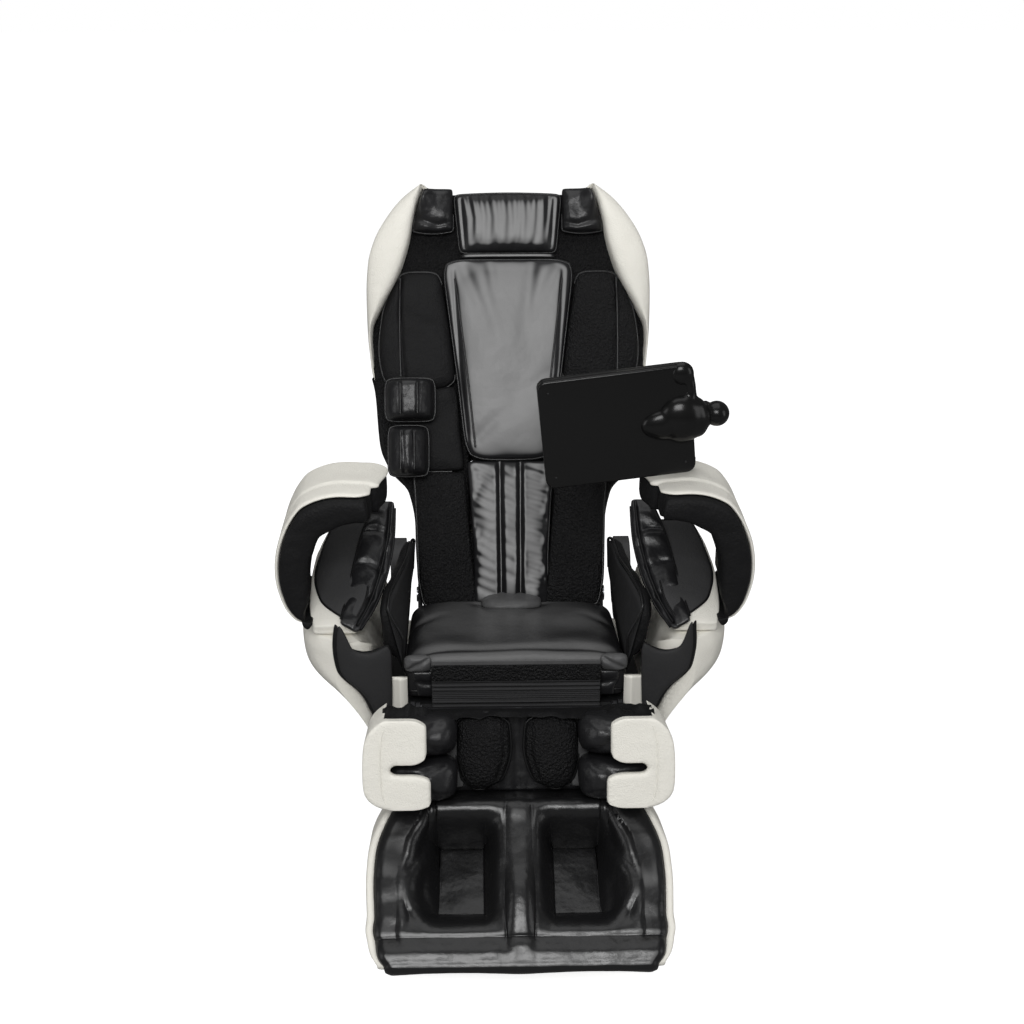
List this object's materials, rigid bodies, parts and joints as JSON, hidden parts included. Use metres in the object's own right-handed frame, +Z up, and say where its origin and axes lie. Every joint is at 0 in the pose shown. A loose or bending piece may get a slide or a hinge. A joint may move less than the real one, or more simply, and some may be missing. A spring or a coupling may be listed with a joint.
{
  "type": "massage chair",
  "caption": "Full-body massage chair: reclining winged backrest with roller carriage, hooded arm units, rising leg rest with foot wells, and a tablet on a swivel post.",
  "frame": {"origin": "on the floor, at the middle of the chair's width and length", "axes": "+Z up, the sitter faces -Y, +X is the sitter's left"},
  "size_m": [0.9106, 1.3448, 1.2228],
  "materials": {
    "cream_leather": "fine grain, satin",
    "black_leather": "soft grain, satin",
    "grey_leather": "soft grain, matte",
    "cream_plastic": "satin moulding",
    "black_plastic": "fine texture",
    "gloss_black": "gloss",
    "screen_glass": "polished",
    "painted_steel": "black powder coat",
    "bare_steel": "bright drawn",
    "rubber": "matte"
  },
  "bodies": {
    "base": {"base_frame": "painted_steel", "base_feet": "rubber", "wheel_axle": "bare_steel", "power_box": "black_plastic", "mains_inlet": "black_plastic", "pump_unit": "black_plastic"},
    "wheel_left": {"wheel_left": "rubber"},
    "wheel_right": {"wheel_right": "rubber"},
    "rocker": {"power_rocker": "black_plastic"},
    "chassis": {"seat_frame": "painted_steel", "hinge_pins": "bare_steel", "seat_board": "black_plastic", "seat_cushion": "black_leather", "hip_bolsters": "black_leather", "front_apron": "black_leather", "side_cover_left": "cream_plastic", "side_cover_right": "cream_plastic", "side_front_panels": "black_leather", "inner_walls": "cream_plastic", "hinge_hubs": "black_plastic", "arm_shell_left": "cream_leather", "arm_shell_right": "cream_leather", "arm_liner_left": "black_leather", "arm_liner_right": "black_leather", "forearm_pad_left": "grey_leather", "forearm_pad_right": "grey_leather", "rear_cover": "black_plastic", "back_actuator": "black_plastic", "leg_actuator": "black_plastic", "tablet_post": "gloss_black"},
    "back_rod": {"back_rod": "bare_steel"},
    "leg_rod": {"leg_rod": "bare_steel"},
    "backrest": {"back_frame": "painted_steel", "back_shell": "cream_leather", "back_upholstery": "black_leather", "back_pad": "black_leather", "lumbar_strip": "black_leather", "head_pillow": "black_leather", "shoulder_panels": "black_leather", "shoulder_pods": "black_leather", "ear_pads": "black_leather"},
    "lead_screw": {"lead_screw": "bare_steel"},
    "carriage": {"carriage": "painted_steel"},
    "kneading_arms": {"kneading_arms": "bare_steel"},
    "rollers_upper": {"rollers_upper": "rubber"},
    "rollers_lower": {"rollers_lower": "rubber"},
    "legrest": {"leg_frame": "painted_steel", "calf_panel": "black_leather", "calf_shell_left": "cream_leather", "calf_shell_right": "cream_leather", "calf_airbags": "black_leather", "calf_pads": "black_leather"},
    "foot": {"foot_shell": "cream_leather", "foot_upholstery": "black_leather", "foot_rails": "bare_steel"},
    "foot_rollers": {"foot_rollers": "rubber"},
    "swivel_arm": {"swivel_arm": "gloss_black"},
    "ball_stud": {"ball_stud": "gloss_black"},
    "tablet": {"tablet_case": "gloss_black", "tablet_screen": "screen_glass"}
  },
  "joints": [
    {"name": "wheel_left_spin", "type": "hinge", "parent": "base", "child": "wheel_left", "pos_m": [-0.199, 0.3057, 0.041], "axis": [1, 0, 0], "continuous": true},
    {"name": "wheel_right_spin", "type": "hinge", "parent": "base", "child": "wheel_right", "pos_m": [0.199, 0.3057, 0.041], "axis": [1, 0, 0], "continuous": true},
    {"name": "power_switch", "type": "hinge", "parent": "base", "child": "rocker", "pos_m": [0.038, 0.2307, 0.092], "axis": [1, 0, 0], "range_deg": [-8, 8]},
    {"name": "seat_tilt", "type": "hinge", "parent": "base", "child": "chassis", "pos_m": [0, 0.2597, 0.15], "axis": [-1, 0, 0], "range_deg": [0, 12]},
    {"name": "recline", "type": "hinge", "parent": "chassis", "child": "backrest", "pos_m": [0, 0.2197, 0.4], "axis": [-1, 0, 0], "range_deg": [0, 46]},
    {"name": "back_rod_slide", "type": "slide", "parent": "chassis", "child": "back_rod", "axis": [0, -1, 0], "range_m": [0, 0.0982]},
    {"name": "leg_raise", "type": "hinge", "parent": "chassis", "child": "legrest", "pos_m": [0, -0.3053, 0.395], "axis": [-1, 0, 0], "range_deg": [0, 75]},
    {"name": "leg_rod_slide", "type": "slide", "parent": "chassis", "child": "leg_rod", "axis": [0, -1, 0], "range_m": [0, 0.1101]},
    {"name": "foot_extend", "type": "slide", "parent": "legrest", "child": "foot", "axis": [0, -0.2588, -0.9659], "range_m": [0, 0.1105]},
    {"name": "foot_roller_spin", "type": "hinge", "parent": "foot", "child": "foot_rollers", "pos_m": [0, -0.47931, 0.10887], "axis": [1, 0, 0], "continuous": true},
    {"name": "carriage_slide", "type": "slide", "parent": "backrest", "child": "carriage", "axis": [0, 0.4067, 0.9135], "range_m": [0, 0.33]},
    {"name": "lead_screw_spin", "type": "hinge", "parent": "backrest", "child": "lead_screw", "pos_m": [0, 0.30042, 0.3969], "axis": [0, 0.4067, 0.9135], "continuous": true},
    {"name": "kneading_swing", "type": "hinge", "parent": "carriage", "child": "kneading_arms", "pos_m": [0, 0.32035, 0.60148], "axis": [1, 0, 0], "range_deg": [-6, 6]},
    {"name": "upper_roller_spin", "type": "hinge", "parent": "kneading_arms", "child": "rollers_upper", "pos_m": [0, 0.33379, 0.66117], "axis": [1, 0, 0], "continuous": true},
    {"name": "lower_roller_spin", "type": "hinge", "parent": "kneading_arms", "child": "rollers_lower", "pos_m": [0, 0.28498, 0.55155], "axis": [1, 0, 0], "continuous": true},
    {"name": "tablet_arm_swing", "type": "hinge", "parent": "chassis", "child": "swivel_arm", "pos_m": [0.316, -0.0903, 0.931], "axis": [0, 0, 1], "range_deg": [-8, 30]},
    {"name": "tablet_turn", "type": "hinge", "parent": "swivel_arm", "child": "ball_stud", "pos_m": [0.37, -0.1803, 0.943], "axis": [0, 0, 1], "range_deg": [-8, 45]},
    {"name": "tablet_tilt", "type": "hinge", "parent": "ball_stud", "child": "tablet", "pos_m": [0.37, -0.1803, 0.943], "axis": [0.9932, 0.0523, 0.1044], "range_deg": [-20, 20]}
  ],
  "couplings": [
    {"joint": "back_rod_slide", "follows": "recline", "m_per_rad": 0.12167},
    {"joint": "leg_rod_slide", "follows": "leg_raise", "m_per_rad": 0.083711},
    {"joint": "foot_extend", "follows": "leg_raise", "m_per_rad": 0.084034},
    {"joint": "lead_screw_spin", "follows": "carriage_slide", "rad_per_m": 314.16}
  ]
}
